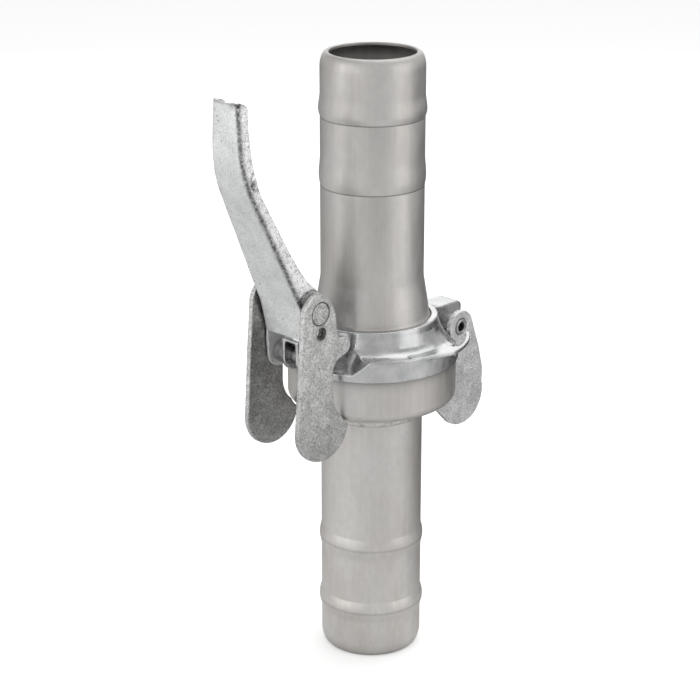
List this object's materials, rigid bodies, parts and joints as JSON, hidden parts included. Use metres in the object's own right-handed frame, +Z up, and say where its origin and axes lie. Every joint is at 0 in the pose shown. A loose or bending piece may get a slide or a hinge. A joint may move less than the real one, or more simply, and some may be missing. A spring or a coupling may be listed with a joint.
{
  "type": "lever-lock ball-and-cup pipe coupling with two hose tails",
  "caption": "Galvanised lever-lock ball-and-cup quick coupling with two beaded hose tails, clamp ring, over-centre lever and hooks under the cup",
  "frame": {"origin": "pipe axis on the plane of the lower mouth", "axes": "+Z up along the pipe axis from the cup half to the ball half, lever side at -X, fixed hooks at +X, hinges along Y"},
  "size_m": [0.2422, 0.143, 0.462],
  "materials": {
    "galvanised_tube": "satin warm grey galvanised sheet",
    "weld_metal": "galvanised over a weld bead",
    "rubber": "matt black",
    "zinc_plated_casting": "bright zinc over a smooth casting",
    "steel_pin": "dull zinc",
    "galvanised_lever": "light hot-dip galvanised, grainy",
    "galvanised_plate": "mottled hot-dip galvanised"
  },
  "bodies": {
    "female": {"lower_hose_tail": "galvanised_tube", "female_cup": "galvanised_tube", "cup_weld": "weld_metal", "seal_ring": "rubber"},
    "male": {"upper_hose_tail": "galvanised_tube", "ball_spigot": "galvanised_tube"},
    "ring": {"clamp_ring": "zinc_plated_casting", "fulcrum_pin": "steel_pin", "fulcrum_spacers": "steel_pin", "fixed_hook_pin": "steel_pin", "fixed_hook_spacers": "steel_pin"},
    "lever": {"lever": "galvanised_lever", "hook_rivet": "galvanised_plate"},
    "lever_hook_front": {"lever_hook_front": "galvanised_plate"},
    "lever_hook_rear": {"lever_hook_rear": "galvanised_plate"},
    "fixed_hook_front": {"fixed_hook_front": "galvanised_plate"},
    "fixed_hook_rear": {"fixed_hook_rear": "galvanised_plate"}
  },
  "joints": [
    {"name": "male_swivel", "type": "hinge", "parent": "female", "child": "male", "pos_m": [0, 0, 0.234], "axis": [0, 0, 1], "continuous": true},
    {"name": "ring_swivel", "type": "hinge", "parent": "female", "child": "ring", "pos_m": [0, 0, 0.234], "axis": [0, 0, 1], "continuous": true},
    {"name": "lever_open", "type": "hinge", "parent": "ring", "child": "lever", "pos_m": [-0.074, 0, 0.251], "axis": [0, -1, 0], "range_deg": [0, 130]},
    {"name": "lever_hook_front_swing", "type": "hinge", "parent": "lever", "child": "lever_hook_front", "pos_m": [-0.081, -0.02595, 0.291], "axis": [0, -1, 0], "range_deg": [-130, 0]},
    {"name": "lever_hook_rear_swing", "type": "hinge", "parent": "lever", "child": "lever_hook_rear", "pos_m": [-0.081, 0.02595, 0.291], "axis": [0, -1, 0], "range_deg": [-130, 0]},
    {"name": "fixed_hook_front_swing", "type": "hinge", "parent": "ring", "child": "fixed_hook_front", "pos_m": [0.0726, -0.02275, 0.2434], "axis": [0, -1, 0], "range_deg": [0, 75]},
    {"name": "fixed_hook_rear_swing", "type": "hinge", "parent": "ring", "child": "fixed_hook_rear", "pos_m": [0.0726, 0.02275, 0.2434], "axis": [0, -1, 0], "range_deg": [0, 75]}
  ],
  "couplings": [
    {"joint": "lever_hook_front_swing", "follows": "lever_open", "ratio": -1},
    {"joint": "lever_hook_rear_swing", "follows": "lever_open", "ratio": -1}
  ]
}
